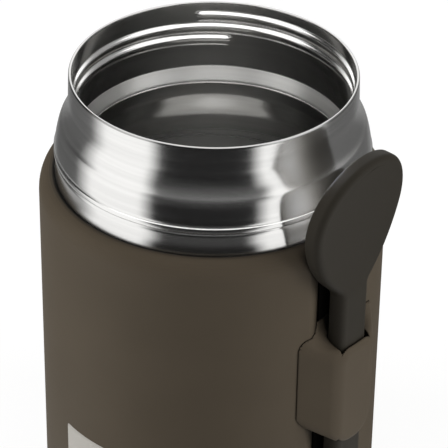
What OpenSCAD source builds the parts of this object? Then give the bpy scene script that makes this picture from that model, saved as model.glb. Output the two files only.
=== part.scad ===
// Insulated food jar with a spoon kept in a holder on its side.
// Z is up and zero is the table. The spoon and its holder face +X.

/* [Jar] */
// Height of the mouth's rim above the table
jar_h = 140; // [128:1:170]
// Outer diameter of the moulded casing
casing_d = 95; // [93:1:104]
// Inner diameter of the mouth as a share of the casing's diameter
mouth_share = 0.8; // [0.75:0.01:0.81]
// Thickness of the vessel's steel sheet
steel_t = 0.42; // [0.38:0.02:0.5]
// Width of the vacuum space between the two steel walls
vacuum_gap = 3; // [2.5:0.1:4]

/* [Neck] */
// Height of bare steel between the casing's shoulder and the rim
neck_h = 30.8; // [29:0.2:36]
// Height of the straight part of the neck below the rim
neck_straight_h = 7.5; // [6:0.5:9]
// Distance from the rim down to the bead that is rolled round the neck
bead_drop = 22.7; // [22:0.1:24]
// Height of the rolled bead
bead_h = 1.6; // [1.2:0.1:2]
// Depth of the fine groove on each side of the bead
bead_groove = 0.25; // [0.2:0.05:0.3]
// How far the wall at the bead stands out past the band under it
bead_stand = 0.4; // [0.3:0.05:0.6]

/* [Inside] */
// Distance from the rim down to the top of the conical lid seat
seat_drop = 20.2; // [19:0.2:21]
// Height of the conical lid seat
seat_h = 4.7; // [4:0.1:5.5]
// How far the seat narrows the mouth, on the radius
seat_step = 1.5; // [1:0.1:2]
// Height of the straight wall between the seat and the swell
seat_edge_h = 3.3; // [2.5:0.1:4]
// Height over which the wall swells out to the full cavity
swell_h = 9.8; // [8:0.2:12]
// Radius of the corner between the cavity's wall and its floor
cavity_corner_r = 12; // [8:1:16]

/* [Casing] */
// Wall of the moulded casing
casing_t = 2; // [1.6:0.1:2.2]
// Height of the rounded shoulder
shoulder_h = 5.7; // [5:0.1:7]
// Width of the rounded shoulder, on the radius
shoulder_w = 3.6; // [3:0.1:3.8]
// Depth of the spoon channel below the casing's surface
channel_depth = 3.3; // [3:0.1:3.4]
// Half width of the channel between the centres of its rounded edges
channel_half_w = 11.2; // [10.8:0.1:12]
// Radius of the channel's rounded edges
channel_edge_r = 6.7; // [6:0.1:7.2]
// Height of the channel's lower end above the table
channel_z = 16; // [15:0.5:22]

/* [Spoon] */
// Width of the spoon's handle
handle_w = 10.9; // [9:0.1:12]
// Thickness of the spoon's handle
handle_t = 4.94; // [4:0.02:5.2]
// Distance that the handle's front stands out past the casing's surface
handle_stand = 4.81; // [4.6:0.01:5.5]
// Width of the bowl
bowl_w = 34.5; // [30:0.5:36]
// Length of the bowl above its widest place
bowl_upper = 18.5; // [16:0.5:20]
// Length of the bowl below its widest place
bowl_lower = 24.8; // [22:0.2:27]
// Distance from the rim down to the bowl's widest place
bowl_drop = 22.3; // [20:0.1:24]
// Depth of the bowl's side wall
bowl_depth = 4.8; // [4.4:0.1:5.2]
// Thickness of the bowl's back and wall
bowl_t = 1.5; // [1.2:0.1:1.8]

/* [Spoon holder] */
// Width of the holder where it meets the casing, as a share of the casing's diameter
holder_base_share = 0.303; // [0.285:0.003:0.321]
// Width of the holder's front face
holder_front_w = 13.9; // [13:0.1:16]
// Thickness of the holder's wall in front of the handle
holder_wall = 0.9; // [0.8:0.1:1.4]
// Distance from the rim down to the holder's top at the casing
holder_base_top = 54.3; // [53:0.1:58]
// Distance from the rim down to the holder's bottom at the casing
holder_base_low = 89.5; // [85:0.5:95]
// Distance from the rim down to the top of the front face
holder_front_top = 62.8; // [61:0.1:66]
// Distance from the rim down to the bottom of the front face
holder_front_low = 96; // [92:0.5:102]
// Clearance all round the handle in its slot
slot_gap = 0.3; // [0.2:0.05:0.35]

/* [Hidden] */
$fn = 96;
// Overrun of every cut past the face that it opens
over = 1;

// Colours
steel_c = [0.78, 0.78, 0.77];
brown_c = [0.32, 0.29, 0.25];
spoon_c = [0.22, 0.20, 0.18];
black_c = [0.04, 0.04, 0.04];
foil_c = [0.80, 0.52, 0.36];

// Running clearances between neighbouring pieces
vessel_gap = 0.4;
lip_gap = 0.35;
cap_gap = 0.1;
foil_gap = 0.05;

// Radii of the vessel, worked inwards from the casing's channel
casing_r = casing_d / 2;
channel_floor = casing_r - channel_depth;
channel_back_t = 1;
vessel_r = channel_floor - channel_back_t - vessel_gap;
cavity_r = vessel_r - vacuum_gap - 2 * steel_t;
lip_r = casing_r * mouth_share;
neck_r = lip_r + 2 * steel_t;
bead_r = vessel_r + bead_stand;
neck_lean = 0.22;
mouth_lean = 0.3;

// Heights of the base
foot_h = 1;
foot_inset = 0.6;
cap_t = 3;
cushion_t = 2.8;
vessel_z = foot_h + cap_t + cushion_t;
skirt_h = 4;
dimple_h = 2.5;
dimple_r = 8;
hole_r = 1.2;
getter_r = 5;
getter_h = 1;
getter_place = vessel_r / 2;
disc_z = vessel_z + skirt_h;
cavity_z = disc_z + dimple_h + 2 * steel_t + getter_h;

// A cubic curve through four control points, as a list of n + 1 points
function bezier(p, n) = [for (i = [0 : n]) let (t = i / n)
    pow(1 - t, 3) * p[0] + 3 * t * pow(1 - t, 2) * p[1] + 3 * t * t * (1 - t) * p[2] + pow(t, 3) * p[3]];
// Points of an elliptical arc about centre c
function arc(c, rx, ry, a0, a1, n) = [for (i = [0 : n]) let (a = a0 + (a1 - a0) * i / n)
    c + [rx * cos(a), ry * sin(a)]];
function reversed(p) = [for (i = [len(p) - 1 : -1 : 0]) p[i]];
function moved(p, d) = [for (q = p) q + d];

// A wall given by its outer line of [radius, height] points, as thick as t on the radius
module turned_wall(line, t) {
    rotate_extrude() polygon(concat(line, reversed(moved(line, [-t, 0]))));
}
module ring(r_out, r_in, z, h) {
    translate([0, 0, z]) difference() {
        cylinder(r = r_out, h = h);
        translate([0, 0, -over]) cylinder(r = r_in, h = h + 2 * over);
    }
}

// The neck's flare in two curves: shares of its radial step and of its height, from the neck down
flare_shares = [[[0, 0], [0.005, 0.16], [0.202, 0.353], [0.445, 0.445]],
    [[0.445, 0.445], [0.733, 0.553], [0.857, 0.835], [1, 1]]];
flare_low = bead_drop - bead_h / 2 - bead_groove;
flare_r = bead_r - bead_groove;
flare_top_r = neck_r + neck_lean;
function flare_point(s) = [flare_top_r + s[0] * (flare_r - flare_top_r),
    jar_h - neck_straight_h - s[1] * (flare_low - neck_straight_h)];
flare_line = [for (part = flare_shares) each bezier([for (s = part) flare_point(s)], 8)];
bead_low = bead_drop + bead_h / 2;
bead_line = [
    [flare_r - bead_groove, jar_h - flare_low - bead_groove / 2],
    [bead_r, jar_h - flare_low - 2 * bead_groove],
    [bead_r, jar_h - bead_low],
    [flare_r - bead_groove, jar_h - bead_low - bead_groove],
    [flare_r, jar_h - bead_low - 2 * bead_groove],
    [vessel_r, jar_h - neck_h]];

// Outer steel wall: the neck, its flare, the rolled bead, the band and the body
module outer_vessel() {
    lip = arc([neck_r - steel_t, jar_h - steel_t], steel_t, steel_t, 90, 0, 6);
    color(steel_c) turned_wall(concat(lip, flare_line, bead_line, [[vessel_r, vessel_z]]), steel_t);
}

// Inner steel wall: the lip, the lid seat, the swell and the food cavity
seat_top = lip_r - mouth_lean;
seat_low = seat_top - seat_step;
swell_z = jar_h - seat_drop - seat_h - seat_edge_h;
// Shares of the swell's radial step and of its height
swell_shares = [[0, 0], [0.02, 0.18], [0.98, 0.72], [1, 1]];
module inner_vessel() {
    swell = bezier([for (s = swell_shares) [seat_low + s[0] * (cavity_r - seat_low), swell_z - s[1] * swell_h]], 10);
    corner = arc([cavity_r - cavity_corner_r, cavity_z + cavity_corner_r], cavity_corner_r, cavity_corner_r,
        0, -90, 12);
    face = concat([[lip_r, jar_h - steel_t], [seat_top, jar_h - seat_drop], [seat_low, jar_h - seat_drop - seat_h]],
        swell, corner, [[0, cavity_z]]);
    back_corner = arc([cavity_r - cavity_corner_r, cavity_z + cavity_corner_r], cavity_corner_r + steel_t,
        cavity_corner_r + steel_t, -90, 0, 12);
    back = concat([[0, cavity_z - steel_t]], back_corner, reversed(moved(swell, [steel_t, 0])),
        [[seat_low + steel_t, jar_h - seat_drop - seat_h], [seat_top + steel_t, jar_h - seat_drop],
        [lip_r + steel_t, jar_h]]);
    lip = arc([lip_r + steel_t, jar_h - steel_t], steel_t, steel_t, 90, 180, 6);
    color(steel_c) rotate_extrude() polygon(concat(face, back, lip));
}

// Bottom of the outer wall: a dished disc with its rim turned down and a dimple at its centre
module vacuum_base() {
    rim_r = vessel_r - steel_t;
    line = [[rim_r, vessel_z], [rim_r, disc_z + steel_t], [dimple_r + steel_t, disc_z + steel_t],
        [dimple_r, disc_z + dimple_h + steel_t], [hole_r, disc_z + dimple_h + steel_t],
        [hole_r, disc_z + dimple_h], [dimple_r - steel_t, disc_z + dimple_h],
        [dimple_r, disc_z], [rim_r - steel_t, disc_z], [rim_r - steel_t, vessel_z]];
    color(steel_c) rotate_extrude() polygon(line);
}

// Seal of the evacuation hole: a stem in the hole and a round head in the dimple
plug_head_share = 2.6;
module tip_off_plug() {
    z = disc_z + dimple_h;
    color(foil_c) union() {
        translate([0, 0, z - steel_t]) cylinder(r = hole_r * plug_head_share, h = steel_t);
        translate([0, 0, z - steel_t]) cylinder(r = hole_r, h = 2 * steel_t);
    }
}

// Gas-absorbing pellet that stands on the bottom disc, inside the vacuum
module getter() {
    color(black_c) translate([getter_place, 0, disc_z + steel_t]) cylinder(r = getter_r, h = getter_h);
}

// Foil sleeve round the inner wall, against radiated heat
foil_t = 0.2;
foil_low_gap = 2;
module foil_shield() {
    r_in = cavity_r + steel_t + foil_gap;
    z_low = cavity_z + cavity_corner_r + foil_low_gap;
    z_top = swell_z - swell_h - foil_low_gap;
    color(foil_c) ring(r_in + foil_t, r_in, z_low, z_top - z_low);
}

// Shoulder of the casing and what lies under it
shoulder_z = jar_h - neck_h + foot_inset;
shoulder_r = casing_r - shoulder_w;
mouth_edge_r = vessel_r + lip_gap;
gasket_r = vessel_r + vessel_gap + lip_gap;
gasket_top = shoulder_z - 3 * foot_inset;
gasket_h = 2.6;
casing_low_r = 2.5;
wall_in = casing_r - casing_t;
slope_h = 2;

// Region of the spoon channel seen from above, with its two rounded edges
edge_proud = 0.1;
edge_place = sqrt(pow(casing_r - channel_edge_r + edge_proud, 2) - pow(channel_half_w, 2));
edge_tan = channel_half_w / edge_place;
module channel_plan(floor_x) {
    far = casing_r + 2 * over;
    difference() {
        polygon([[floor_x, floor_x * edge_tan], [far, far * edge_tan],
            [far, -far * edge_tan], [floor_x, -floor_x * edge_tan]]);
        for (side = [-1, 1])
            translate([edge_place, side * channel_half_w]) circle(r = channel_edge_r);
    }
}
module channel_space(floor_x) {
    translate([0, 0, channel_z]) linear_extrude(height = jar_h - channel_z) channel_plan(floor_x);
}

// Moulded casing: wall, rounded shoulder and the thicker back of the spoon channel
module casing() {
    top = arc([shoulder_r, shoulder_z - shoulder_h], shoulder_w, shoulder_h, 0, 90, 8);
    roll = arc([shoulder_r, shoulder_z - foot_inset], shoulder_r - mouth_edge_r, foot_inset, 90, 180, 3);
    low = arc([casing_r - casing_low_r, foot_h + casing_low_r], casing_low_r, casing_low_r, -90, 0, 5);
    inside = [[mouth_edge_r, gasket_top], [gasket_r, gasket_top], [gasket_r, gasket_top - gasket_h],
        [wall_in, gasket_top - gasket_h - slope_h], [wall_in, foot_h]];
    back_low = channel_z - channel_back_t - casing_t;
    back_top = gasket_top - gasket_h - vessel_gap;
    back_x = channel_floor - channel_back_t;
    back_half = channel_half_w + channel_edge_r;
    color(brown_c) difference() {
        union() {
            rotate_extrude() polygon(reversed(concat(low, top, roll, inside)));
            intersection() {
                translate([back_x, -back_half, back_low])
                    cube([channel_depth + channel_back_t, 2 * back_half, back_top - back_low]);
                translate([0, 0, back_low]) cylinder(r = casing_r - casing_t / 2, h = back_top - back_low);
            }
        }
        channel_space(channel_floor);
    }
}

// Soft ring that closes the gap between the casing's shoulder and the steel band
module neck_gasket() {
    lip_top = shoulder_z - 2 * foot_inset;
    color(black_c) union() {
        ring(gasket_r, vessel_r, gasket_top - gasket_h, gasket_h);
        ring(mouth_edge_r, vessel_r, gasket_top, lip_top - gasket_top);
    }
}

// Dark lining strip on the channel's floor
liner_t = 0.6;
liner_top = shoulder_z - shoulder_h - liner_t;
module channel_liner() {
    half = edge_place > channel_floor ? channel_half_w - channel_edge_r :
        channel_half_w - sqrt(pow(channel_edge_r, 2) - pow(channel_floor - edge_place, 2));
    color(black_c) translate([channel_floor, -half, channel_z])
        cube([liner_t, 2 * half, liner_top - channel_z]);
}

// Spoon: the place of its front and back, and its outline seen from the front
handle_x = casing_r + handle_stand;
handle_half = handle_w / 2;
bowl_mid = jar_h - bowl_drop;
bowl_z = bowl_mid - bowl_lower;
bowl_top = bowl_mid + bowl_upper;
bowl_len = bowl_upper + bowl_lower;
handle_end_gap = 0.3;
handle_z = channel_z + handle_end_gap;
handle_round = 4;
// Half width at which the outline ends, and how far the flat faces are crowned
tip_half = 1.2;
crown = 0.15;
// Powers of the rounded outline above and below the widest place, at the neck and at the end
upper_power = 2;
lower_power = 1.71;
neck_power = 6;
end_power = 2.4;
// The bowl's back leaves the handle's line by these shares of the bowl's length
dip_share = -0.087;
lean_share = 0.192;
function rounded(x, p) = x >= 1 ? 0 : pow(1 - pow(abs(x), p), 1 / p);
function bowl_half(z) = z > bowl_mid ? bowl_w / 2 * rounded((z - bowl_mid) / bowl_upper, upper_power)
    : bowl_w / 2 * rounded((bowl_mid - z) / bowl_lower, lower_power);
function stem_half(z) = z > bowl_mid ? 0
    : handle_half * rounded(max(0, (handle_z + handle_round - z) / handle_round), end_power);
function spoon_half(z) = z > bowl_mid ? bowl_half(z)
    : pow(pow(bowl_half(z), neck_power) + pow(stem_half(z), neck_power), 1 / neck_power);
function bowl_share(z) = max(0, (z - bowl_z) / bowl_len);
function spoon_back(z) = handle_x + bowl_len * (dip_share * bowl_share(z) + lean_share * pow(bowl_share(z), 2));
function smooth(x) = let (c = min(1, max(0, x))) c * c * (3 - 2 * c);

// One ring of the spoon's surface at height z: back, rounded edges, wall and hollow
edge_round = 1.1;
hollow_run = 9;
face_steps = 3;
edge_steps = 3;
hollow_steps = 6;
hollow_power = 4;
rim_chamfer = 0.28;
// Share of the bowl's length over which the handle's depth turns into the bowl's
depth_share = 1 / 3;
function half_ring(z) =
    let (w = max(tip_half, spoon_half(z)))
    let (depth = handle_t + (bowl_depth - handle_t) * smooth(bowl_share(z) / depth_share))
    let (e = min(edge_round, w / 2))
    let (w_in = w - min(bowl_t, w / 2))
    let (open = smooth((z - bowl_z) / hollow_run) * smooth((w_in - tip_half) / bowl_t))
    let (rim_d = depth + crown / 3)
    let (floor_d = depth + crown - open * (depth + crown - bowl_t))
    concat(
        [for (i = [0 : face_steps - 1]) [(w - e) * i / face_steps, crown * pow(i / face_steps, 2)]],
        [for (i = [0 : edge_steps]) let (a = 90 * i / edge_steps) [w - e + e * sin(a), crown + e - e * cos(a)]],
        [[w, depth - rim_chamfer], [w - rim_chamfer, depth]],
        [for (i = [0 : hollow_steps]) let (c = cos(90 * i / hollow_steps))
            [w_in * c, rim_d - (rim_d - floor_d) * pow(1 - pow(c, hollow_power), 1 / 2)]]);
function full_ring(z) = let (h = half_ring(z), n = len(h), x = spoon_back(z))
    concat([for (q = h) [x - q[1], q[0], z]], [for (i = [n - 2 : -1 : 1]) [x - h[i][1], -h[i][0], z]]);

// Stations up the spoon, closer where the outline turns
end_steps = 6;
stem_steps = 8;
low_steps = 16;
up_steps = 14;
stem_top = bowl_z - handle_w / 2;
spoon_stations = concat(
    [for (i = [0 : end_steps]) handle_z + handle_round * (1 - cos(90 * i / end_steps))],
    [for (i = [1 : stem_steps]) handle_z + handle_round + (stem_top - handle_z - handle_round) * i / stem_steps],
    [for (i = [1 : low_steps]) stem_top + (bowl_mid - stem_top) * i / low_steps],
    [for (i = [1 : up_steps]) bowl_mid + bowl_upper * sin(90 * i / up_steps)]);
module spoon() {
    rings = [for (z = spoon_stations) full_ring(z)];
    n = len(rings[0]);
    m = len(rings);
    points = [for (r = rings) each r];
    sides = [for (j = [0 : m - 2], i = [0 : n - 1]) let (k = (i + 1) % n)
        each [[j * n + i, (j + 1) * n + i, (j + 1) * n + k], [j * n + i, (j + 1) * n + k, j * n + k]]];
    low_cap = [for (i = [0 : n - 1]) i];
    top_cap = [for (i = [n - 1 : -1 : 0]) (m - 1) * n + i];
    color(spoon_c) polyhedron(points = points, faces = concat(sides, [low_cap, top_cap]), convexity = 6);
}

// Spoon holder: a block with rounded corners, a slot for the handle and a hollowed top
holder_base_w = casing_d * holder_base_share;
holder_base_r = 6;
holder_front_r = 5;
holder_chin_r = 6.5;
holder_edge = 1;
holder_fn = 32;
// A plate in the YZ plane; each corner is [height of its centre, radius]
module rounded_plate(x, w, corners, t) {
    for (side = [-1, 1], c = corners)
        translate([x, side * (w / 2 - c[1]), c[0]]) rotate([0, 90, 0]) cylinder(r = c[1], h = t, $fn = holder_fn);
}
module spoon_holder() {
    front_x = handle_x + slot_gap + holder_wall;
    base_x = sqrt(pow(casing_r, 2) - pow(holder_base_w / 2, 2));
    plug_x = channel_floor + liner_t;
    front_low = jar_h - holder_front_low;
    front_top = jar_h - holder_front_top;
    base_low = jar_h - holder_base_low;
    base_top = jar_h - holder_base_top;
    chin = [front_low + holder_chin_r, holder_chin_r];
    brow = [front_top - holder_front_r, holder_front_r];
    scoop_r = front_top > base_top - holder_edge ? holder_edge : base_top - front_top - holder_edge;
    slot_half = handle_half + slot_gap;
    slot_x = handle_x - handle_t - slot_gap;
    color(brown_c) difference() {
        union() {
            hull() {
                rounded_plate(base_x - holder_edge, holder_base_w,
                    [[base_low + holder_base_r, holder_base_r], [base_top - holder_base_r, holder_base_r]],
                    holder_edge);
                rounded_plate(front_x - 2 * holder_edge, holder_front_w, [chin, brow], holder_edge);
                rounded_plate(front_x - holder_edge, holder_front_w - 2 * holder_edge,
                    [chin - [0, holder_edge], brow - [0, holder_edge]], holder_edge);
            }
            translate([plug_x, -channel_half_w, base_low + holder_base_r])
                cube([base_x - plug_x, 2 * channel_half_w, base_top - base_low - 2 * holder_base_r]);
        }
        difference() {
            translate([0, 0, base_low - over - bowl_len])
                cylinder(r = casing_r, h = 2 * bowl_len + base_top - base_low + 2 * over);
            channel_space(plug_x);
        }
        translate([base_x + scoop_r, 0, front_top + scoop_r]) rotate([90, 0, 0])
            translate([0, 0, -holder_base_w]) cylinder(r = scoop_r, h = 2 * holder_base_w);
        translate([base_x + scoop_r, -holder_base_w, front_top])
            cube([front_x, 2 * holder_base_w, scoop_r + over]);
        translate([slot_x, -slot_half, front_low - over])
            cube([handle_t + 2 * slot_gap, 2 * slot_half, base_top - front_low + 2 * over]);
    }
}

// Base cap: a disc with a skirt that snaps into the casing and a recess for the foot pad
pad_inset = 7.5;
pad_r = casing_r - pad_inset;
cap_skirt_t = 1.2;
cap_skirt_h = 5;
module base_cap() {
    cap_r = wall_in - cap_gap;
    color(brown_c) difference() {
        translate([0, 0, foot_h]) cylinder(r = cap_r, h = cap_t + cap_skirt_h);
        translate([0, 0, foot_h + cap_t]) cylinder(r = cap_r - cap_skirt_t, h = cap_skirt_h + over);
        translate([0, 0, foot_h - over]) cylinder(r = pad_r, h = foot_inset + over);
    }
}

// Soft cup that carries and centres the vacuum vessel on the base cap
cushion_lip_h = 3;
cushion_hold = 8.8;
module support_cushion() {
    r_out = wall_in - 2 * cap_gap - cap_skirt_t;
    z = foot_h + cap_t;
    color(black_c) difference() {
        translate([0, 0, z]) cylinder(r = r_out, h = cushion_t + cushion_lip_h);
        translate([0, 0, z - over]) cylinder(r = vessel_r - cushion_hold, h = cushion_t + 2 * over);
        translate([0, 0, vessel_z]) cylinder(r = vessel_r, h = cushion_lip_h + over);
    }
}

// Non-slip disc that the jar stands on
module base_pad() {
    color(black_c) cylinder(r = pad_r, h = foot_h + foot_inset);
}

inner_vessel();
outer_vessel();
vacuum_base();
tip_off_plug();
getter();
foil_shield();
neck_gasket();
casing();
channel_liner();
spoon_holder();
base_cap();
support_cushion();
base_pad();
spoon();
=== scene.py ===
"""An insulated steel food jar with its mouth open and a spoon kept in a holder on its side.

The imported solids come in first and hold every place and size. The steel walls, the ring at the
shoulder, the spoon and its holder are then worked out again as finer surfaces, a plain panel is laid
on the casing, and each piece gets its finish. The jar's sizes are in millimetres, and MM turns them
into metres."""

import math
import bpy
import numpy as np
from mathutils import Matrix, Vector


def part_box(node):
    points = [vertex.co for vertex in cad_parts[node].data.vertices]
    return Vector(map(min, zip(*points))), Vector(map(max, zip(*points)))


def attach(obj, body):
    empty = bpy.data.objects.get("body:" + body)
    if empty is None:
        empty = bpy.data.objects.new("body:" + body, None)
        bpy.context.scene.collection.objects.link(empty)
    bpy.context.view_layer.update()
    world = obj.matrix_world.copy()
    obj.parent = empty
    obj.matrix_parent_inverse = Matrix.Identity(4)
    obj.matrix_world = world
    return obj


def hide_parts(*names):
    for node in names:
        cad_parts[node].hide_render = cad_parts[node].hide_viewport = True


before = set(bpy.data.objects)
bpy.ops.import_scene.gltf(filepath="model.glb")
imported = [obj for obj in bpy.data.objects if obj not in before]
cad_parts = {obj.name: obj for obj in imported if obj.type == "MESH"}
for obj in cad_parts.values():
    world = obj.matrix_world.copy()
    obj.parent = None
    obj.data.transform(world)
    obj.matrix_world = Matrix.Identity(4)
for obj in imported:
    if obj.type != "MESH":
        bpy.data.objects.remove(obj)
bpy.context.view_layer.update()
MM = 0.001


# Camera
# A long lens looks down into the open mouth from in front of the jar. The spoon stands 48 degrees
# to the right of the camera, so the camera's frame is the jar's turned by 42 degrees about Z.
def reach(name):
    """Least and greatest x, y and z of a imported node, in millimetres to the nearest thousandth."""
    return [[round(value / MM, 3) for value in corner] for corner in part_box(name)]


rim = reach("inner_vessel")[1][2]
look_down = math.radians(33.71)
camera_roll = math.radians(0.90)
camera_turn = math.radians(42.0)
focal_pixels = 2569.0
image_pixels = 448
sensor_mm = 36.0
near_limit = 20 * MM
# from the rim's centre to the camera: to its right, upwards and back
camera_offset = (2.636 * MM, -40.73 * MM, 683.97 * MM)

turn_z = Matrix.Rotation(camera_turn, 3, "Z")
forward = turn_z @ Vector((0, math.cos(look_down), -math.sin(look_down)))
level_right = turn_z @ Vector((1, 0, 0))
level_up = turn_z @ Vector((0, math.sin(look_down), math.cos(look_down)))
right = math.cos(camera_roll) * level_right + math.sin(camera_roll) * level_up
up = math.cos(camera_roll) * level_up - math.sin(camera_roll) * level_right

camera_data = bpy.data.cameras.new("long_lens")
camera_data.sensor_width = sensor_mm
camera_data.lens = focal_pixels / image_pixels * sensor_mm
camera_data.clip_start = near_limit
camera = bpy.data.objects.new("long_lens", camera_data)
bpy.context.scene.collection.objects.link(camera)
place = Vector((0, 0, rim * MM))
place += camera_offset[0] * right + camera_offset[1] * up - camera_offset[2] * forward
camera.matrix_world = Matrix.Translation(place) @ Matrix((right, up, -forward)).transposed().to_4x4()
bpy.context.scene.camera = camera
bpy.context.scene.view_settings.view_transform = "Standard"


# Studio
# The jar stands on a pale floor under soft lamps. Steel has no colour of its own, so a tent of
# white cloth with a black strip in front stands round it, and shows in reflections only.
def node(tree, kind, **inputs):
    """Adds a shader node. Each keyword names an input, with underscores for spaces, or is an
    underscore and the input's number, and gives its value or the socket that feeds it."""
    new = tree.nodes.new(kind)
    for name, value in inputs.items():
        socket = new.inputs[int(name[1:])] if name[0] == "_" else new.inputs[name.replace("_", " ")]
        if isinstance(value, bpy.types.NodeSocket):
            tree.links.new(value, socket)
        else:
            socket.default_value = value
    return new


def sums(tree, operation, *values, clamp=False):
    """One Math node on up to three values or sockets, and the socket that it gives."""
    new = node(tree, "ShaderNodeMath", **{f"_{i}": v for i, v in enumerate(values)})
    new.operation = operation
    new.use_clamp = clamp
    return new.outputs[0]


def direct_look(tree):
    """1 for a ray that sees a surface from the camera, in a reflection or through glass, else 0."""
    path = tree.nodes.new("ShaderNodeLightPath")
    seen = sums(tree, "MAXIMUM", path.outputs["Is Camera Ray"], path.outputs["Is Glossy Ray"])
    return sums(tree, "MAXIMUM", seen, path.outputs["Is Transmission Ray"])


def new_material(name):
    """An empty material with its output node, as (material, tree, output)."""
    material = bpy.data.materials.new(name)
    material.use_nodes = True
    tree = material.node_tree
    tree.nodes.clear()
    return material, tree, tree.nodes.new("ShaderNodeOutputMaterial")


def ramp(tree, value, stops):
    """A colour ramp with the given (position, grey or colour) stops, straight between them."""
    new = node(tree, "ShaderNodeValToRGB", Fac=value)
    points = new.color_ramp.elements
    while len(points) < len(stops):
        points.new(0.5)
    for point, (position, shade) in zip(points, stops):
        point.position = position
        point.color = (*shade, 1) if isinstance(shade, tuple) else (shade, shade, shade, 1)
    return new.outputs["Color"]


def mesh_piece(name, points, faces, material, uv=None, smooth=True):
    """A mesh object from an array of points in metres and its faces, as an array or a list of
    point numbers. uv gives each point's place on the surface."""
    mesh = bpy.data.meshes.new(name)
    mesh.from_pydata(points.tolist(), [], faces.tolist() if isinstance(faces, np.ndarray) else faces)
    mesh.polygons.foreach_set("use_smooth", np.full(len(mesh.polygons), smooth))
    if uv is not None:
        layer = mesh.uv_layers.new(name="surface")
        corners = np.empty(len(mesh.loops), np.int32)
        mesh.loops.foreach_get("vertex_index", corners)
        layer.data.foreach_set("uv", uv[corners].astype(np.float32).ravel())
    mesh.update()
    piece = bpy.data.objects.new(name, mesh)
    bpy.context.scene.collection.objects.link(piece)
    mesh.materials.append(material)
    return piece


floor_size = 6.0
floor_paint = (0.85, 0.85, 0.84, 1)
floor_glow, glow_share = 1.12, 0.8
floor_edge = np.array([[-1, -1, 0], [1, -1, 0], [1, 1, 0], [-1, 1, 0]]) * floor_size / 2
material, tree, output = new_material("pale_floor")
paint = node(tree, "ShaderNodeBsdfDiffuse", Color=floor_paint)
glow = node(tree, "ShaderNodeEmission", Color=(1, 1, 1, 1), Strength=floor_glow)
mixed = node(tree, "ShaderNodeMixShader", _0=sums(tree, "MULTIPLY", direct_look(tree), glow_share),
             _1=paint.outputs[0], _2=glow.outputs[0])
tree.links.new(mixed.outputs[0], output.inputs["Surface"])
floor = mesh_piece("studio_floor", floor_edge, np.array([[0, 1, 2, 3]]), material, smooth=False)

# The white air: how much it lights the object, and how bright it is to look at
air_light, air_seen = 0.24, 1.8
world = bpy.data.worlds.new("studio_air")
bpy.context.scene.world = world
world.use_nodes = True
tree = world.node_tree
tree.nodes.clear()
strength = sums(tree, "MULTIPLY_ADD", direct_look(tree), air_seen - air_light, air_light)
sky = node(tree, "ShaderNodeBackground", Color=(1, 1, 1, 1), Strength=strength)
tree.links.new(sky.outputs[0], node(tree, "ShaderNodeOutputWorld").inputs["Surface"])

# The tent: a ring of cloth round the jar and a mat on the floor inside it
tent_r, tent_h = 170 * MM, 300 * MM
mat_r, mat_z = 48 * MM, 0.5 * MM
tent_steps = 180
tent_light = 1.2
angle = np.linspace(0, 2 * np.pi, tent_steps, endpoint=False)
points = np.concatenate([np.c_[r * np.cos(angle), r * np.sin(angle), np.full(tent_steps, z)]
                         for r, z in ((mat_r, mat_z), (tent_r, mat_z), (tent_r, tent_h))])
corner = np.arange(2 * tent_steps)
beside = corner // tent_steps * tent_steps + (corner + 1) % tent_steps
faces = np.c_[beside, corner, corner + tent_steps, beside + tent_steps]

# Its panels are given as (from, to, shade), with angles in degrees to the right of the camera.
# Those at the foot fade into the low ones between two heights, and these into the high ones.
foot_panels = [(-180, -150, 0.45), (-140, -98, 0.42), (-82, -42, 1.0), (-32, 22, 0.07),
               (31, 80, 1.0), (88, 130, 0.14), (150, 180, 0.35)]
low_panels = [(-180, -155, 0.24), (-132, -98, 0.10), (-82, -45, 1.0), (-35, 25.5, 0.012),
              (35, 80, 1.0), (88, 130, 0.12), (150, 180, 0.24)]
high_panels = [(-180, -150, 1.6), (-125, -92, 0.03), (-80, -45, 1.0), (-36, 33, 0.10),
               (40, 80, 1.0), (88, 130, 0.3), (150, 180, 1.6)]
foot_fade = (14 * MM, 40 * MM)
high_fade = (125 * MM, 160 * MM)
camera_side = camera_turn - math.pi / 2

material, tree, output = new_material("tent_cloth")
where = node(tree, "ShaderNodeSeparateXYZ", Vector=tree.nodes.new("ShaderNodeTexCoord").outputs["Object"])
bearing = sums(tree, "ARCTAN2", where.outputs["Y"], where.outputs["X"])
# the share of a full turn, with 0.5 on the camera's side and less than that to its left
share = sums(tree, "DIVIDE", sums(tree, "SUBTRACT", bearing, camera_side - math.pi), 2 * math.pi)
share = sums(tree, "FRACT", share)


def panel_shade(panels):
    """The shade of a row of panels: even on each panel, and fading across the gaps."""
    stops = [((edge + 180) / 360, shade) for start, end, shade in panels for edge in (start, end)]
    return ramp(tree, share, stops)


def faded(value, fade, low, high):
    """Goes from one colour to the other while the value crosses the fade."""
    new = tree.nodes.new("ShaderNodeMix")
    new.data_type = "RGBA"
    crossed = sums(tree, "SUBTRACT", value, fade[0])
    crossed = sums(tree, "DIVIDE", crossed, fade[1] - fade[0], clamp=True)
    tree.links.new(crossed, new.inputs["Factor"])
    tree.links.new(low, new.inputs[6])
    tree.links.new(high, new.inputs[7])
    return new.outputs[2]


cloth = faded(where.outputs["Z"], foot_fade, panel_shade(foot_panels), panel_shade(low_panels))
cloth = faded(where.outputs["Z"], high_fade, cloth, panel_shade(high_panels))
cloth = node(tree, "ShaderNodeEmission", Color=cloth, Strength=tent_light)
tree.links.new(cloth.outputs[0], output.inputs["Surface"])
tent = mesh_piece("reflection_tent", points, faces, material)
tent.visible_camera = False
tent.visible_diffuse = False
tent.visible_transmission = False
tent.visible_volume_scatter = False
tent.visible_shadow = False


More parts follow.
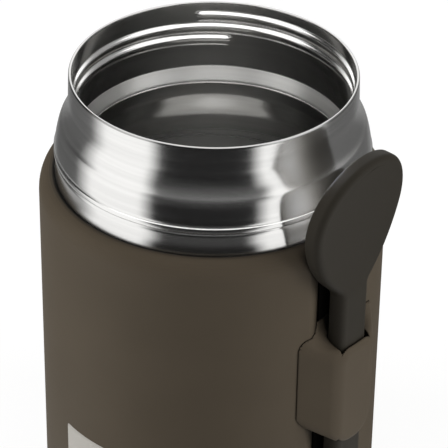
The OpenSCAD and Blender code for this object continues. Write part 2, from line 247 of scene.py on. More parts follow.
def lamp_piece(name, lamp, at, towards):
    """Hangs a lamp at a place, facing in a direction. Reflections don't show it."""
    piece = bpy.data.objects.new(name, lamp)
    piece.matrix_world = Matrix.Translation(at) @ towards.to_track_quat("-Z", "Y").to_matrix().to_4x4()
    bpy.context.scene.collection.objects.link(piece)
    piece.visible_glossy = False
    return piece


# The soft square lamps aim at the jar's neck: degrees to the right of the camera, height, distance
# and size in metres, and power in watts
lamp_aim = Vector((0, 0, 90 * MM))
for name, to_right, height, distance, size, watts in (("left_lamp", -80, 0.50, 1.1, 0.8, 11.3),
                                                      ("right_lamp", 76, 0.42, 1.1, 0.6, 9.2),
                                                      ("front_lamp", 5, 0.5, 1.2, 0.9, 2.2)):
    lamp = bpy.data.lights.new(name, "AREA")
    lamp.size = size
    lamp.energy = watts
    bearing = camera_side + math.radians(to_right)
    at = Vector((distance * math.cos(bearing), distance * math.sin(bearing), height))
    lamp_piece(name, lamp, at, lamp_aim - at)

# A small light between the neck and the spoon fills the bowl, which the steel mirrors
fill_w, fill_h = 7 * MM, 32 * MM
fill_at = Vector((44.8 * MM, -7.5 * MM, 121.5 * MM))
fill = bpy.data.lights.new("bowl_fill", "AREA")
fill.shape = "RECTANGLE"
fill.size = fill_w
fill.size_y = fill_h
fill.energy = 0.043
fill.color = (0.74, 0.82, 1.0)
lamp_piece("bowl_fill", fill, fill_at, Vector((1, 0, 0))).visible_camera = False


# Inner steel wall
# One drawn sheet of satin steel: the rolled lip, the neck with a thread rolled into it, the conical
# seat for the lid's seal, and the swell down to the food cavity with its rounded floor. It is welded
# to the outer wall along the lip.
steel_shade = (0.78, 0.775, 0.76)
steel_tint = 0.90
ring_grain, band_grain = (14, 14, 5200), (9, 9, 700)
ring_depth = 0.02 * MM
drawn_out = 0.75
# Deep in the jar the steel is rougher, and its colour is darkened there as painted shade
dull_and_shade_fade, dull_rougher = 6 * MM, 0.35
# On the seat the steel is rougher, and its colour is lighter as a painted reflection
brushed_rougher, seat_painted_light = 0.2, 0.26
# On the lip the steel's colour is darkened as painted shade, so that its reflection shows grey
lip_shade_above, lip_painted_shade = (rim - 0.55) * MM, 0.44
rough_least, rough_most = 0.8, 1.25


def satin_steel(name, roughness, streak_depth, dull_and_shade_below=0.0, cavity_shade_share=1.0, brushed_and_lit=(0.0, 0.0)):
    """Steel turned on a lathe: fine rings round the axis draw each reflection out along the axis.
    Noise that changes fast with height and slowly round the jar gives the rings. Below the given
    height the steel is rougher and its colour is multiplied by the given share as painted shade deep
    in the jar; between the two given heights it is rougher and lighter as a painted reflection; and
    on the lip its colour is darkened as painted shade, so that the lip's reflection shows grey."""
    material, tree, output = new_material(name)
    place = tree.nodes.new("ShaderNodeTexCoord").outputs["Object"]
    fine = node(tree, "ShaderNodeMapping", Vector=place, Scale=ring_grain)
    rings = node(tree, "ShaderNodeTexNoise", Vector=fine.outputs[0], Scale=1.0, Detail=3.0)
    wide = node(tree, "ShaderNodeMapping", Vector=place, Scale=band_grain)
    bands = node(tree, "ShaderNodeTexNoise", Vector=wide.outputs[0], Scale=1.0, Detail=2.0)
    tint = ramp(tree, bands.outputs["Fac"], [(0.3, tuple(c * steel_tint for c in steel_shade)),
                                             (0.7, steel_shade)])
    upward = node(tree, "ShaderNodeSeparateXYZ", Vector=place).outputs["Z"]
    # below the given height: rougher steel, with painted shade in its colour
    dull_and_shaded = node(tree, "ShaderNodeMapRange", Value=upward, From_Min=dull_and_shade_below - dull_and_shade_fade,
                From_Max=dull_and_shade_below, To_Min=cavity_shade_share).outputs[0]
    # between the two given heights: rougher steel, with a painted reflection in its colour
    brushed_and_lit_zone = sums(tree, "COMPARE", upward, sum(brushed_and_lit) / 2, (brushed_and_lit[1] - brushed_and_lit[0]) / 2)
    # on the lip: painted shade in the colour
    on_lip = sums(tree, "GREATER_THAN", upward, lip_shade_above)
    rough = node(tree, "ShaderNodeMapRange", Value=bands.outputs["Fac"],
                 To_Min=roughness * rough_least, To_Max=roughness * rough_most).outputs[0]
    rough = sums(tree, "MULTIPLY_ADD", brushed_and_lit_zone, brushed_rougher, rough)
    rough = sums(tree, "MULTIPLY_ADD", sums(tree, "SUBTRACT", 1.0, dull_and_shaded), dull_rougher, rough)
    # the colour's scale: painted light on the seat, painted shade in the cavity and on the lip
    light = sums(tree, "MULTIPLY_ADD", brushed_and_lit_zone, seat_painted_light, dull_and_shaded)
    light = sums(tree, "MULTIPLY_ADD", on_lip, -lip_painted_shade, light)
    shaded = node(tree, "ShaderNodeVectorMath", _0=tint, _3=light)
    shaded.operation = "SCALE"
    bump = node(tree, "ShaderNodeBump", Height=rings.outputs["Fac"], Strength=streak_depth,
                Distance=ring_depth)
    tangent = tree.nodes.new("ShaderNodeTangent")
    tangent.direction_type = "UV_MAP"
    tangent.uv_map = "surface"
    steel = node(tree, "ShaderNodeBsdfPrincipled", Base_Color=shaded.outputs[0], Metallic=1.0,
                 Roughness=rough, Anisotropic=drawn_out, Tangent=tangent.outputs[0],
                 Normal=bump.outputs[0])
    tree.links.new(steel.outputs[0], output.inputs["Surface"])
    return material


def curve(p, n):
    """n points of a cubic curve from p[0] to p[3], without its first point. Each is a mean of the four
    points of p with the weights (1 - t)^3, 3 t (1 - t)^2, 3 t^2 (1 - t) and t^3."""
    t = np.linspace(0, 1, n + 1)[1:, None]
    p = np.array(p, float)
    return (1 - t) ** 3 * p[0] + 3 * t * (1 - t) ** 2 * p[1] + 3 * t ** 2 * (1 - t) * p[2] + t ** 3 * p[3]


def bend(centre, radius, start, end, n):
    """n + 1 points of a circular arc in the plane of radius and height, angles in degrees."""
    t = np.radians(np.linspace(start, end, n + 1))
    return np.c_[centre[0] + radius * np.cos(t), centre[1] + radius * np.sin(t)]


def straight(p, q, n):
    """n points from p to q, without p."""
    t = np.linspace(0, 1, n + 1)[1:, None]
    return np.array(p, float) * (1 - t) + np.array(q, float) * t


def near(point, *moves):
    """The places that small moves (outwards, upwards) reach from one point."""
    return [(point[0] + outwards, point[1] + upwards) for outwards, upwards in moves]


def grid_faces(rows, around):
    """The faces between rows of points that each run round and close on themselves: each face joins
    a point, the one in the next row, that one's neighbour and the point's neighbour."""
    row, column = np.meshgrid(np.arange(rows - 1), np.arange(around), indexing="ij")
    point = row * around + column
    beside = row * around + (column + 1) % around
    return np.stack([point, point + around, beside + around, beside], axis=-1).reshape(-1, 4)


def turned(line, around, shift=None):
    """A surface of revolution. Row i is the line's point i, column j the angle 2 pi j / around, and
    shift(angle, height) adds to the radius. The surface faces to the right of the line's course. A
    line that ends on the axis is closed there with triangles to one point.
    Returns points in metres, faces and the places (length along the line in decimetres, share of
    the turn)."""
    line = np.asarray(line, float)
    closed = line[-1, 0] == 0
    angle = np.linspace(0, 2 * np.pi, around, endpoint=False)
    rows = line[:-1] if closed else line
    radius = np.repeat(rows[:, :1], around, axis=1)
    height = np.repeat(rows[:, 1:], around, axis=1)
    if shift is not None:
        radius = radius + shift(np.broadcast_to(angle, radius.shape), height)
    points = np.stack([radius * np.cos(angle), radius * np.sin(angle), height], axis=-1).reshape(-1, 3)
    run = np.concatenate([[0], np.cumsum(np.hypot(*np.diff(line, axis=0).T))]) * MM * 10
    uv = np.stack(np.broadcast_arrays(run[:len(rows), None], angle[None, :] / (2 * np.pi)), axis=-1)
    uv = uv.reshape(-1, 2)
    # the same faces, turned over
    faces = grid_faces(len(rows), around)[:, [0, 3, 2, 1]].tolist()
    if closed:
        last = (len(rows) - 1) * around + np.arange(around)
        faces += np.stack([last, np.roll(last, -1), np.full(around, len(points))], axis=-1).tolist()
        points = np.vstack([points, [[0, 0, line[-1, 1]]]])
        uv = np.vstack([uv, [[run[-1], 0.5]]])
    return points * MM, faces, uv


sheet = 0.42
lip_r = 38.0
thread_top, thread_low = (lip_r - 0.02, rim - 1.8), (lip_r - 0.22, rim - 14.2)
seat_top, seat_low = (37.7, rim - 20.2), (36.2, rim - 24.9)
seat_foot = (36.42, seat_low[1])
cavity_r, cavity_z = reach("inner_vessel")[1][0] - sheet, reach("inner_vessel")[0][2] + sheet
corner_r = 12.0
swell_top, swell_low = rim - 28.2, rim - 37.6
# the swell's curve, as shares of its radial step and of its height
swell_shares = ((0, 0), (0.01, 0.19), (0.99, 0.70), (1, 1))
# The inner wall gets painted shade in the cavity, a painted reflection on the seat and painted shade on the
# lip
inner_steel = satin_steel("inner_satin_steel", roughness=0.15, streak_depth=0.03,
                          dull_and_shade_below=(rim - 36) * MM, cavity_shade_share=0.64,
                          brushed_and_lit=((rim - 24.8) * MM, seat_top[1] * MM))

# The rolled thread: a ridge that winds down clockwise, a little over two turns, and a shallow hollow
# that the rolling tool leaves under it. It starts at an angle to the left of the camera.
thread_pitch = 3.72
thread_start = camera_side - math.radians(173.9)
thread_start_drop = 3.72
thread_turns = 2.03
thread_proud = 0.8
upper_flank, lower_flank = 1.15, 1.05
end_round = 1.4
hollow_drop, hollow_half, hollow_depth, hollow_end = 1.75, 0.7, 0.09, 0.6


def bump_share(d, above, below):
    """Share of a bump's height at distance d above its crest: a soft step up on each side."""
    s = np.clip(np.where(d > 0, 1 - d / above, 1 + d / below), 0, 1)
    return s * s * (3 - 2 * s)


def thread_shift(angle, height):
    """How far the thread moves the wall away from the axis. For each turn, the distance from the
    helix in height is joined with the distance past either end, so that both ends are round."""
    ridge = np.zeros(np.shape(height))
    hollow = np.zeros(np.shape(height))
    for turn in range(-1, 4):
        wound = (thread_start - angle) % (2 * np.pi) / (2 * np.pi) + turn
        d = height - (rim - thread_start_drop - thread_pitch * wound)
        past = np.maximum(np.maximum(-wound, wound - thread_turns) * 2 * np.pi * lip_r, 0) / end_round
        far = np.sign(d) * np.hypot(d, past)
        ridge = np.maximum(ridge, bump_share(far, upper_flank, lower_flank))
        rolled = bump_share(d + hollow_drop, hollow_half, hollow_half) * (past < hollow_end)
        hollow = np.maximum(hollow, rolled)
    return hollow_depth * hollow - thread_proud * ridge


inner_line = np.concatenate([
    bend((lip_r + sheet, rim - sheet), sheet, 90, 180, 8),
    straight((lip_r, rim - sheet), thread_top, 3),
    straight(thread_top, thread_low, 96),
    straight(thread_low, *near(seat_top, (0, 0.5)), 8),
    curve(near(seat_top, (0, 0.5), (0, 0.1), (-0.1, -0.1), (-0.25, -0.6)), 5),
    straight(*near(seat_top, (-0.25, -0.6)), *near(seat_foot, (0, 0.85)), 8),
    curve(near(seat_foot, (0, 0.85), (-0.04, 0.7), (-0.04, 0.5), (-0.04, 0.3)), 4),
    curve(near(seat_foot, (-0.04, 0.3), (-0.05, 0.1)) + near(seat_low, (0, 0.05), (0, -0.3)), 5),
    straight(*near(seat_low, (0, -0.3)), (seat_low[0], swell_top), 3),
    curve([(seat_low[0] + r * (cavity_r - seat_low[0]), swell_top - h * (swell_top - swell_low))
           for r, h in swell_shares], 24),
    straight((cavity_r, swell_low), (cavity_r, cavity_z + corner_r), 10),
    bend((cavity_r - corner_r, cavity_z + corner_r), corner_r, 0, -90, 14)[1:],
    straight((cavity_r - corner_r, cavity_z), (0, cavity_z), 6),
])
points, faces, uv = turned(inner_line, 480, thread_shift)
inner_wall = mesh_piece("inner_wall", points, faces, inner_steel, uv)
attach(inner_wall, "jar")
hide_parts("inner_vessel")


# Outer steel wall
# The second sheet of satin steel, welded to the first along the lip: the plain neck, the flare that
# swells out of it, a rolled bead between two fine grooves, and the bare band above the casing.
neck_r, neck_low_r = lip_r + 2 * sheet, 39.06
neck_straight, flare_low = 7.5, 21.65
bead_r, band_r = reach("outer_vessel")[1][0], 42.8
wall_foot = reach("outer_vessel")[0][2]
foot_r = 43.25
groove = 0.25
flare_r = bead_r - groove
# the flare's two curves, as shares of its radial step and of its height
flare_shares = [[(0, 0), (0.005, 0.17), (0.23, 0.365), (0.54, 0.483)],
                [(0.54, 0.483), (0.70, 0.544), (0.90, 0.785), (1, 1)]]
flare = [[(neck_low_r + s * (flare_r - neck_low_r), rim - neck_straight - h * (flare_low - neck_straight))
          for s, h in part] for part in flare_shares]
outer_steel = satin_steel("outer_satin_steel", roughness=0.19, streak_depth=0.2)

# The points below the flare are given from one of four radii, with their drop below the rim. The
# wall's hidden part starts a tenth of the way up from its foot to the band.
band, foot, flared, bead = ((r, rim) for r in (band_r, foot_r, flare_r, bead_r))
outer_line = np.concatenate([
    straight((band_r, wall_foot), *near(band, (0, -34.5)), 10),
    straight(*near(band, (0, -34.5)), *near(foot, (0, -31.0)), 5),
    curve(near(foot, (0, -31.0), (-0.12, -30.0)) + near(flared, (-0.1, -28.5), (-0.06, -27.0)), 8),
    straight(*near(flared, (-0.06, -27.0)), *near(flared, (0, -24.3)), 5),
    curve(near(flared, (0, -24.3), (-0.02, -24.1), (-groove, -24.0), (-groove, -23.8)), 5),
    curve(near(flared, (-groove, -23.8), (-groove, -23.6)) + near(bead, (-0.05, -23.6), (0, -23.2)), 5),
    curve(near(bead, (0, -23.2), (0.02, -22.9), (0.02, -22.6), (0, -22.3)), 4),
    curve(near(bead, (0, -22.3), (-0.05, -21.95)) + near(flared, (-groove, -22.0), (-groove, -21.8)), 5),
    curve(near(flared, (-groove, -21.8), (-groove, -21.7), (-0.03, -21.75), (-0.02, -21.6)), 4),
    curve(flare[1][::-1], 26)[1:],
    curve(flare[0][::-1], 26),
    straight((neck_low_r, rim - neck_straight), (neck_r, rim - sheet), 12),
    bend((neck_r - sheet, rim - sheet), sheet, 0, 90, 8)[1:],
])
points, faces, uv = turned(outer_line, 360)
outer_wall = mesh_piece("outer_wall", points, faces, outer_steel, uv)
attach(outer_wall, "jar")
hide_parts("outer_vessel")


# Parts in the vacuum
# The bottom disc of pressed steel, the brazed plug in its dimple, the sintered getter and the sleeve
# of foil are shut between the walls or under them. Each is plain metal.
mottle_scale, mottle_gloss, mottle_height = 400.0, 0.08, 0.05 * MM


def plain_metal(name, shade, roughness, metallic=1.0):
    """Bare metal with a faint mottle in its gloss."""
    material, tree, output = new_material(name)
    place = tree.nodes.new("ShaderNodeTexCoord").outputs["Object"]
    mottle = node(tree, "ShaderNodeTexNoise", Vector=place, Scale=mottle_scale, Detail=3.0)
    rough = node(tree, "ShaderNodeMapRange", Value=mottle.outputs["Fac"],
                 To_Min=roughness - mottle_gloss, To_Max=roughness + mottle_gloss)
    bump = node(tree, "ShaderNodeBump", Height=mottle.outputs["Fac"], Strength=0.2,
                Distance=mottle_height)
    skin = node(tree, "ShaderNodeBsdfPrincipled", Base_Color=(*shade, 1), Metallic=metallic,
                Roughness=rough.outputs[0], Normal=bump.outputs[0])
    tree.links.new(skin.outputs[0], output.inputs["Surface"])
    return material


def dress(name, material):
    """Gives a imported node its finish."""
    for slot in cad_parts[name].material_slots:
        slot.material = material


dress("vacuum_base", plain_metal("pressed_steel", (0.60, 0.59, 0.57), 0.35))
dress("tip_off_plug", plain_metal("dull_braze", (0.42, 0.41, 0.40), 0.5))
dress("getter", plain_metal("sintered_pellet", (0.10, 0.10, 0.11), 0.75, 0.6))
dress("foil_shield", plain_metal("bright_foil", (0.82, 0.82, 0.82), 0.22))


# Casing and base cap
# The casing and the cap that closes it below are one brown plastic with a fine matte surface, moulded
# in tools with a light spark texture. The casing slides over the steel and the cap snaps into it.
cloud_scale, cloud_dark, cloud_light = 55.0, 0.965, 1.03
grain_gloss, grain_height = 0.06, 0.06 * MM
# painted shade: the share of open sky at a point, and what is left of the colour there
painted_shade_stops = [(0.36, 0.06), (0.78, 1.0)]


def moulded(name, shade, roughness, grain, depth, specular, shade_reach=0.0):
    """Moulded plastic: a surface with a grain of the given fineness and depth, and a faint cloud of
    tone. Its colour is darkened with painted shade in corners and grooves narrower than the given
    reach, where little light gets in."""
    material, tree, output = new_material(name)
    place = tree.nodes.new("ShaderNodeTexCoord").outputs["Object"]
    clouds = node(tree, "ShaderNodeTexNoise", Vector=place, Scale=cloud_scale, Detail=2.0)
    speckle = node(tree, "ShaderNodeTexNoise", Vector=place, Scale=grain, Detail=2.0)
    tint = ramp(tree, clouds.outputs["Fac"], [(0.3, tuple(c * cloud_dark for c in shade)),
                                              (0.7, tuple(c * cloud_light for c in shade))])
    bump = node(tree, "ShaderNodeBump", Height=speckle.outputs["Fac"], Strength=depth,
                Distance=grain_height)
    rough = node(tree, "ShaderNodeMapRange", Value=speckle.outputs["Fac"],
                 To_Min=roughness - grain_gloss, To_Max=roughness + grain_gloss)
    if shade_reach > 0:
        # painted shade: the colour is darkened where nearby surfaces shut out the light
        open_share = node(tree, "ShaderNodeAmbientOcclusion", Distance=shade_reach).outputs["AO"]
        painted_shade = ramp(tree, open_share, painted_shade_stops)
        darkened = node(tree, "ShaderNodeVectorMath", _0=tint, _1=painted_shade)
        darkened.operation = "MULTIPLY"
        tint = darkened.outputs[0]
    skin = node(tree, "ShaderNodeBsdfPrincipled", Base_Color=tint, Roughness=rough.outputs[0],
                Normal=bump.outputs[0])
    skin.inputs["Specular IOR Level"].default_value = specular
    tree.links.new(skin.outputs[0], output.inputs["Surface"])
    return material


# The casing and the holder get painted shade in corners and grooves narrower than 11 mm
brown_plastic = moulded("brown_plastic", (0.068, 0.0540, 0.0375), 0.62, 2600.0, 0.22, 0.12, 11 * MM)
dress("casing", brown_plastic)
dress("base_cap", brown_plastic)


# Channel lining
# A thin strip of dull black plastic on the floor of the channel where the spoon's handle lies. Its
# colour is far darker than black plastic, as painted shade in the deep channel. It is glued into
# the moulded casing.
# near-black: the strip's own black, darkened further as painted shade of the deep channel
black_and_shade_lining = moulded("black_and_shade_lining", (0.0022, 0.0019, 0.0016), 0.85, 1800.0, 0.3, 0.04)
dress("channel_liner", black_and_shade_lining)


# Cushion and base pad
# A ring of black rubber between the base cap and the steel, and the non-slip pad that the jar
# stands on, glued under the cap.
black_rubber = moulded("black_rubber", (0.012, 0.012, 0.011), 0.7, 1500.0, 0.3, 0.25)
dress("support_cushion", black_rubber)
dress("base_pad", black_rubber)


# Shoulder ring
# A bead of brown rubber that closes the gap between the casing's shoulder and the steel band. It is
# pressed in from above.
ring_in, ring_out = foot_r + 0.01, reach("neck_gasket")[1][0]
ring_mid = (ring_in + ring_out) / 2
ring_top, ring_low = rim - 30.65, rim - 34.0
outside, inside = (ring_out, ring_top), (ring_in, ring_top)
ring_line = np.concatenate([
    [(ring_out, ring_low)],
    straight((ring_out, ring_low), *near(outside, (0, -0.5)), 3),
    curve(near(outside, (0, -0.5), (0, -0.1), (-0.1, 0)) + [(ring_mid, ring_top)], 5),
    curve([(ring_mid, ring_top)] + near(inside, (0.1, 0), (0, -0.1), (0, -0.3)), 5),
    straight(*near(inside, (0, -0.3)), (ring_in, ring_low), 3),
])
points, faces, uv = turned(ring_line, 240)
brown_rubber = moulded("brown_rubber", (0.055, 0.044, 0.031), 0.7, 2000.0, 0.2, 0.12)
ring = mesh_piece("shoulder_ring", points, faces, brown_rubber, uv)
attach(ring, "jar")
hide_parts("neck_gasket")


# Spoon
# One dark plastic moulding that hangs in the holder with its hollow side towards the jar. The back
# is slightly crowned, and every edge of it is rounded.
casing_r = -reach("casing")[0][0]
handle_stand, handle_half, handle_t, handle_round = 4.81, 5.45, 4.94, 4.0
handle_x, handle_z = casing_r + handle_stand, reach("spoon")[0][2]
bowl_half_w, bowl_upper, bowl_lower = 17.25, 18.5, 24.8
bowl_mid = rim - 22.3
bowl_depth, bowl_wall = 4.8, 1.5
bowl_z, bowl_len = bowl_mid - bowl_lower, bowl_upper + bowl_lower
join_z = bowl_z - 6
egg_power, end_power, join_power = 1.71, 2.4, 6
dip_share, lean_share = -0.087, 0.192
crown, back_round, front_round = 0.15, 2.1, 0.45
hollow_run, hollow_widening, hollow_power = 9, 3, 4


def rounded(x, power):
    """Height at x of a superellipse with half axes of 1."""
    return np.maximum(1 - np.clip(np.abs(x), 0, 1) ** power, 0) ** (1 / power)


def eased(x):
    """A soft step from 0 to 1 while x goes from 0 to 1: three squares less two cubes."""
    x = np.clip(x, 0, 1)
    return x * x * (3 - 2 * x)


def spoon_half(z):
    """Half width at height z: an egg-shaped bowl that runs into a straight handle with a round end."""
    above = bowl_half_w * rounded((z - bowl_mid) / bowl_upper, 2)
    below = bowl_half_w * rounded((bowl_mid - z) / bowl_lower, egg_power)
    stem = handle_half * rounded(np.clip((handle_z + handle_round - z) / handle_round, 0, 1), end_power)
    return np.where(z > bowl_mid, above, (below ** join_power + stem ** join_power) ** (1 / join_power))


def bowl_share(z):
    """Share of the bowl's length that lies below height z, and 0 on the handle."""
    return np.maximum(0, (z - bowl_z) / bowl_len)


def spoon_back(z):
    """Place of the spoon's back: the bowl dips a little and then leans away from the jar."""
    return handle_x + bowl_len * (dip_share * bowl_share(z) + lean_share * bowl_share(z) ** 2)


def spoon_depth(z):
    """Depth from the crown to the hollow side: the handle's, going over to the bowl's in its first third."""
    return handle_t + (bowl_depth - handle_t) * eased(bowl_share(z) * 3) + crown


quarter = np.linspace(0, np.pi / 2, 13)
heights = np.concatenate([
    handle_z + handle_round * (1 - np.cos(quarter)),
    np.linspace(handle_z + handle_round, join_z, 25)[1:],
    np.linspace(join_z, bowl_mid, 50)[1:],
    bowl_mid + bowl_upper * np.sin(np.linspace(0, np.pi / 2, 44)[1:]),
])
side = np.stack([spoon_half(heights), heights], axis=-1)
side[[0, -1], 0] = 0
# the outline runs up the side towards +y and down the other
outline = np.concatenate([side, (side * [-1, 1])[-2:0:-1]])
along = np.roll(outline, -1, axis=0) - np.roll(outline, 1, axis=0)
outward = np.stack([along[:, 1], -along[:, 0]], axis=-1)
outward /= np.linalg.norm(outward, axis=1, keepdims=True)
outward[0], outward[len(side) - 1] = (0, -1), (0, 1)

# Each ring of the edge is the outline moved in by one length and down from the crown by another:
# three rings on the back, its rounding, the wall, the rounding of the rim on the hollow side, and
# a last ring inside the rim.
back_flat = [(back_round + step, lambda z: crown) for step in (0.3, 0.12, 0.04)]
back_edge = [(back_round * (1 - math.sin(a)), lambda z, a=a: crown + back_round * (1 - math.cos(a)))
             for a in np.radians(np.linspace(0, 90, 13))]
wall = [(0.0, lambda z, s=s: crown + back_round + s * (spoon_depth(z) - front_round - crown - back_round))
        for s in (0.33, 0.67)]
rim_edge = [(front_round * (1 - math.cos(a)), lambda z, a=a: spoon_depth(z) - front_round * (1 - math.sin(a)))
            for a in np.radians(np.linspace(0, 90, 6))]
rim_flat = [(bowl_wall * 0.8, spoon_depth)]
rings = []
for inset, depth in back_flat + back_edge + wall + rim_edge + rim_flat:
    flat = outline - inset * outward
    z = flat[:, 1]
    rings.append(np.stack([spoon_back(z) - depth(z), flat[:, 0], z], axis=-1))
count = len(outline)
points = np.concatenate(rings)
faces = grid_faces(len(rings), count).tolist()


def bridge(points, first, across, depth_at):
    """Fills the ring that starts at a point number from its +y side to its -y side, with one row of
    points for each height of the side. across gives the places between the sides, from 1 to -1, and
    depth_at(z, place) the depth. Returns all points and the new faces, which face the jar."""
    level = np.arange(len(side))
    start, end = first + level, first + (count - level) % count
    edge = points[start[1:-1]]
    z = np.repeat(edge[:, 2:], len(across), axis=1)
    new = np.stack([spoon_back(z) - depth_at(z, across), edge[:, 1:2] * across, z], axis=-1)
    rows = np.repeat(start[:, None], len(across) + 2, axis=1)
    rows[1:-1, 1:-1] = len(points) + np.arange(new[..., 0].size).reshape(new.shape[:2])
    rows[:, -1] = end
    quads = np.stack([rows[:-1, :-1], rows[:-1, 1:], rows[1:, 1:], rows[1:, :-1]], axis=-1)
    # the first and the last row are one point each, so the faces there are triangles
    fill = quads[0][:, [0, 2, 3]].tolist() + quads[1:-1].reshape(-1, 4).tolist() + quads[-1][:, :3].tolist()
    return np.vstack([points, new.reshape(-1, 3)]), fill


def hollow_depth_at(z, place):
    """Depth of the hollow side: full at the rim, and down to the bowl's back in the middle. The
    hollow opens over its lowest part and as the bowl widens."""
    opened = eased((z - bowl_z) / hollow_run) * eased((spoon_half(z) - bowl_wall) / hollow_widening)
    full = spoon_depth(z)
    return full - opened * (full - bowl_wall) * np.sqrt(1 - np.abs(place) ** hollow_power)


points, back = bridge(points, 0, np.linspace(1, -1, 13)[1:-1], lambda z, place: crown * place ** 2)
points, hollow = bridge(points, (len(rings) - 1) * count, np.cos(np.linspace(0, np.pi, 21))[1:-1],
                        hollow_depth_at)
faces += [face[::-1] for face in back] + hollow
spoon_plastic = moulded("spoon_plastic", (0.0232, 0.0202, 0.0154), 0.6, 2600.0, 0.2, 0.12)
spoon = mesh_piece("fine_spoon", points * MM, faces, spoon_plastic)
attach(spoon, "spoon")
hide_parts("spoon")


# Spoon holder
# A block of the casing's brown plastic, moulded to fit the channel, with rounded edges, a hollowed
# top and a slot that lets the handle down behind its front.
def net(field, low, high, step):
    """The surface where a field is zero. Each cell of a grid that the surface crosses gives one
    point, moved onto the surface along the field's slope in a few rounds, and each crossed edge of
    the grid gives one face."""
    rounds, least_slope = 6, 0.2
    axes = [np.arange(a, b + step, step) for a, b in zip(low, high)]
    inside = field(*np.meshgrid(*axes, indexing="ij")) < 0
    cells = np.zeros(np.array(inside.shape) - 1, int)
    for i, j, k in np.ndindex(2, 2, 2):
        cells += inside[i:i + cells.shape[0], j:j + cells.shape[1], k:k + cells.shape[2]]
    crossed = (cells > 0) & (cells < 8)
    number = np.full(cells.shape, -1)
    number[crossed] = np.arange(crossed.sum())
    points = np.array(low) + (np.argwhere(crossed) + 0.5) * step
    h = step / 20
    for _ in range(rounds):
        value = field(*points.T)
        slope = np.stack([(field(*(points + d).T) - field(*(points - d).T)) / (2 * h)
                          for d in np.eye(3) * h], axis=-1)
        move = slope * (value / np.maximum((slope ** 2).sum(1), least_slope))[:, None]
        points = points - np.clip(move, -step / 2, step / 2)
    faces = []
    for axis in range(3):
        u, v = [n for n in range(3) if n != axis]
        edge = np.diff(inside.astype(int), axis=axis)
        places = np.argwhere(edge != 0)
        within = [(places[:, n] > 0) & (places[:, n] < cells.shape[n]) for n in (u, v)]
        places = places[within[0] & within[1]]
        quads = []
        for du, dv in ((1, 1), (0, 1), (0, 0), (1, 0)):
            cell = places.copy()
            cell[:, u] -= du
            cell[:, v] -= dv
            quads.append(number[tuple(cell.T)])
        quads = np.stack(quads, axis=-1)
        turned_over = (edge[tuple(places.T)] > 0) == (axis != 1)
        quads[turned_over] = quads[turned_over][:, ::-1]
        faces.append(quads)
    return points, np.concatenate(faces)


def meet(a, b, r):
    """The part common to two solids, with the edge between them rounded to radius r."""
    return np.minimum(-r, np.maximum(a, b)) + np.hypot(np.maximum(r + a, 0), np.maximum(r + b, 0))


channel_place, channel_half_w, channel_edge_r = 39.3, 11.2, 6.7
lining_x = reach("channel_liner")[1][0]
base_x, front_x = 45.26, reach("spoon_holder")[1][0]
base_half, front_half = 15.2, 6.95
base_low, base_top = rim - 89.5, rim - 55.4
front_low, front_top = rim - 96.0, rim - 62.8
base_round, base_brow, chin_round, brow_round = 6.0, 7.6, 6.5, 5.0
flank_share, front_edge_r, scoop_edge_r, slot_edge_r, seam_edge_r = 0.76, 1.8, 0.8, 0.25, 0.3
scoop_r = 7.5
slot_half, slot_back, slot_front = 5.75, 47.07, 52.61
seam = 0.05


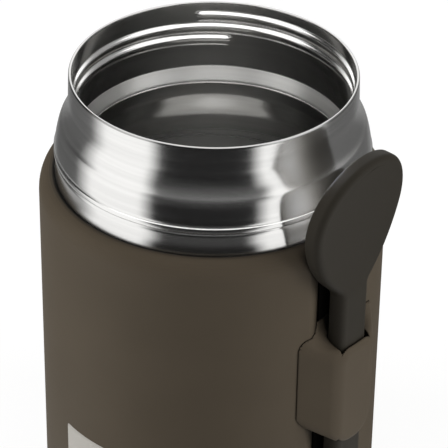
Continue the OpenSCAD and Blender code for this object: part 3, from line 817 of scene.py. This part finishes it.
def holder_field(x, y, z):
    """About the distance from the holder's surface, below zero inside. Its outline is a rounded box
    that narrows from the casing to the front, met by the front face, and cut by the scoop at the
    top, by the handle's slot and by the casing with its channel."""
    t = np.clip((x - base_x) / (front_x - base_x), 0, 1.1)
    half = base_half + (front_half - base_half) * t
    low = base_low + (front_low - base_low) * t
    top = base_top + (front_top - base_top) * t
    middle, tall = (low + top) / 2, (top - low) / 2
    chin = base_round + (chin_round - base_round) * t
    brow = base_brow + (brow_round - base_brow) * t
    r = np.where(z < middle, chin, brow)
    across, upward = np.abs(y) - half + r, np.abs(z - middle) - tall + r
    body = np.hypot(np.maximum(across, 0), np.maximum(upward, 0))
    body = body + np.minimum(np.maximum(across, upward), 0) - r
    body = meet(body * flank_share, x - front_x, front_edge_r)
    scoop = np.hypot(x - base_x - scoop_r, z - front_top - scoop_r) - scoop_r
    scoop = np.minimum(scoop, np.maximum(base_x + scoop_r - x, front_top - z))
    slot = np.abs(x - (slot_back + slot_front) / 2) - (slot_front - slot_back) / 2
    slot = np.maximum(np.abs(y) - slot_half, slot)
    # the casing is its cylinder beside the channel, the channel's round edges and the lining
    lean = math.atan2(channel_half_w, channel_place)
    wedge = np.abs(y) * math.cos(lean) - x * math.sin(lean)
    casing = np.maximum(np.hypot(x, y) - casing_r, -wedge)
    casing = np.minimum(casing, np.hypot(x - channel_place, np.abs(y) - channel_half_w) - channel_edge_r)
    casing = np.minimum(casing, x - lining_x) - seam
    holder = meet(meet(body, -scoop, scoop_edge_r), -slot, slot_edge_r)
    return meet(holder, -casing, seam_edge_r)


points, faces = net(holder_field, (44.2, -16.0, front_low - 0.6), (54.1, 16.0, base_top + 0.8), 0.3)
holder = mesh_piece("fine_holder", points * MM, faces, brown_plastic)
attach(holder, "jar")
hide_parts("spoon_holder")


# Panel
# A thin pale panel with rounded corners, printed on the casing, where such jars carry words. It is
# left plain.
panel_angle = camera_side - math.radians(56.0)
panel_w, panel_top, panel_h = 17.0, 41.5, 21.0
panel_t, panel_round = 0.04, 0.8
columns = panel_w * (0.5 - 0.5 * np.cos(np.linspace(0, np.pi, 41)))
into = np.minimum(np.minimum(columns, panel_w - columns), panel_round)
cut = panel_round - np.sqrt(panel_round ** 2 - (panel_round - into) ** 2)
rows = np.linspace(0, 1, 13)
z = panel_top - panel_h + cut[:, None] + rows[None, :] * (panel_h - 2 * cut[:, None])
bearing = panel_angle + columns / casing_r
# the front stands just proud of the casing, and the back lies just under its surface
sides = []
for r in (casing_r + panel_t, casing_r - panel_t):
    x, y = (np.broadcast_to((r * f(bearing))[:, None], z.shape) for f in (np.cos, np.sin))
    sides.append(np.stack([x, y, z], axis=-1).reshape(-1, 3))
points = np.concatenate(sides) * MM
number = np.arange(z.size).reshape(z.shape)
face = np.stack([number[:-1, :-1], number[1:, :-1], number[1:, 1:], number[:-1, 1:]], axis=-1).reshape(-1, 4)
edge = np.concatenate([number[:-1, 0], number[-1, :-1], number[:0:-1, -1], number[0, :0:-1]])
edge_next = np.roll(edge, -1)
faces = np.concatenate([face, face[:, ::-1] + z.size,
                        np.stack([edge, edge + z.size, edge_next + z.size, edge_next], axis=-1)])
pale_print = moulded("pale_print", (0.40, 0.382, 0.35), 0.5, 3000.0, 0.1, 0.2)
panel = mesh_piece("plain_panel", points, faces, pale_print)
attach(panel, "jar")
